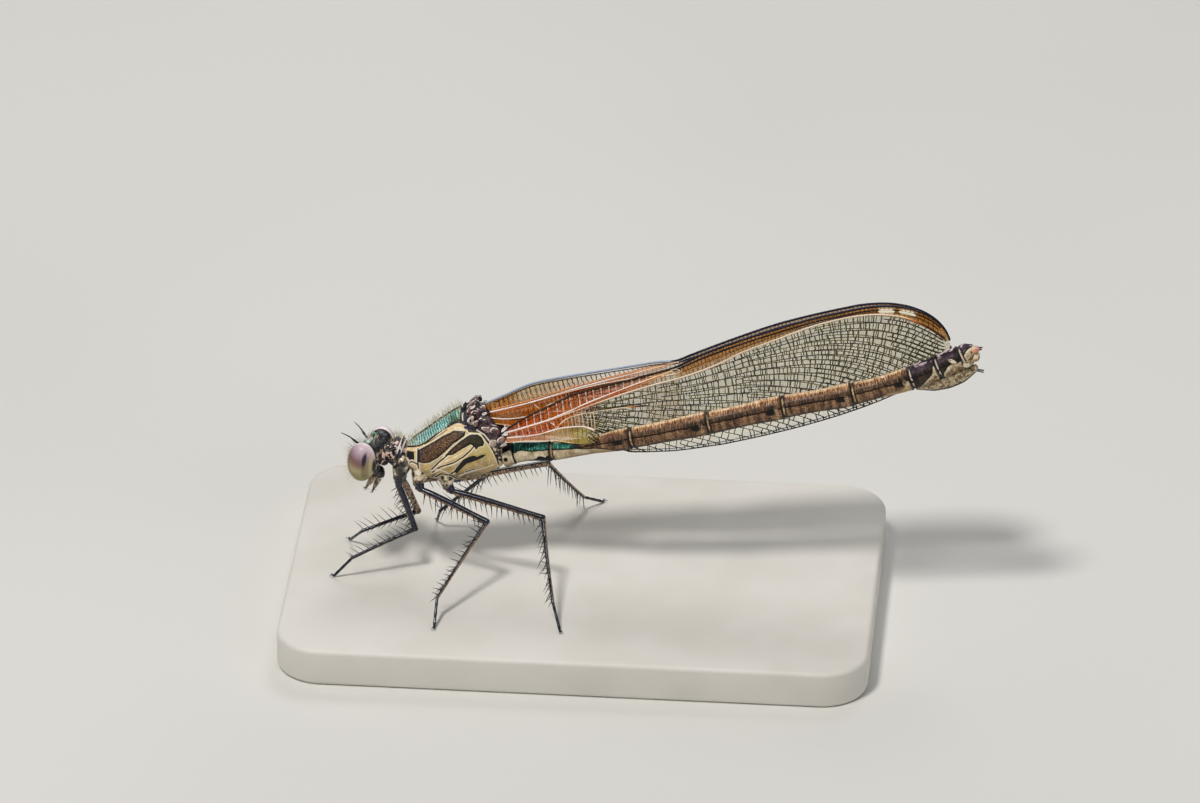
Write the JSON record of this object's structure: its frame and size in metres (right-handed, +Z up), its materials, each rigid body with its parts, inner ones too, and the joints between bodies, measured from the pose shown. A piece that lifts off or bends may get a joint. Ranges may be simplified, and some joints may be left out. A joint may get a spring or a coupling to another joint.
{
  "type": "damselfly",
  "caption": "Life-size display model of a damselfly at rest, wings closed over its back, standing on a plain flat base.",
  "frame": {"origin": "centre of the base's underside", "axes": "+Z up, head towards -X, the insect's left side towards -Y"},
  "size_m": [0.0447, 0.024, 0.0206],
  "materials": {
    "base": "smooth satin off-white plate",
    "head": "black with dull metallic green marks and pale seams, fine pale hairs",
    "eyes": "glossy, mauve above and olive yellow below, faintly banded",
    "antennae": "matt black bristle",
    "mouthparts": "brown and black with cream streaks",
    "thorax": "metallic blue-green back, bronze-brown panels between cream-yellow stripes, fine cross ribs",
    "wings": "amber membrane, red-orange at the root, dark veins, cream veins near the root",
    "abdomen": "bronze with a green sheen in front, pale rings at the joints, cream below",
    "cerci": "orange-pink with dark tips",
    "ovipositor": "cream and olive with black styli",
    "legs": "blue-black with tan stripes and black bristles"
  },
  "bodies": {
    "root": {"stand_base": "base", "head": "head", "eye_left": "eyes", "eye_right": "eyes", "antenna_left": "antennae", "antenna_right": "antennae", "mouthparts": "mouthparts", "prothorax": "thorax", "thorax": "thorax", "wing_fore_left": "wings", "wing_fore_right": "wings", "wing_hind_left": "wings", "wing_hind_right": "wings", "abdomen_1": "abdomen", "abdomen_2": "abdomen", "abdomen_3": "abdomen", "abdomen_4": "abdomen", "abdomen_5": "abdomen", "abdomen_6": "abdomen", "abdomen_7": "abdomen", "abdomen_8": "abdomen", "abdomen_9": "abdomen", "abdomen_10": "abdomen", "cercus_left": "cerci", "cercus_right": "cerci", "ovipositor": "ovipositor", "leg_front_left_femur": "legs", "leg_front_left_tibia": "legs", "leg_front_left_tarsus": "legs", "leg_front_right_femur": "legs", "leg_front_right_tibia": "legs", "leg_front_right_tarsus": "legs", "leg_middle_left_femur": "legs", "leg_middle_left_tibia": "legs", "leg_middle_left_tarsus": "legs", "leg_middle_right_femur": "legs", "leg_middle_right_tibia": "legs", "leg_middle_right_tarsus": "legs", "leg_hind_left_femur": "legs", "leg_hind_left_tibia": "legs", "leg_hind_left_tarsus": "legs", "leg_hind_right_femur": "legs", "leg_hind_right_tibia": "legs", "leg_hind_right_tarsus": "legs"}
  },
  "joints": []
}
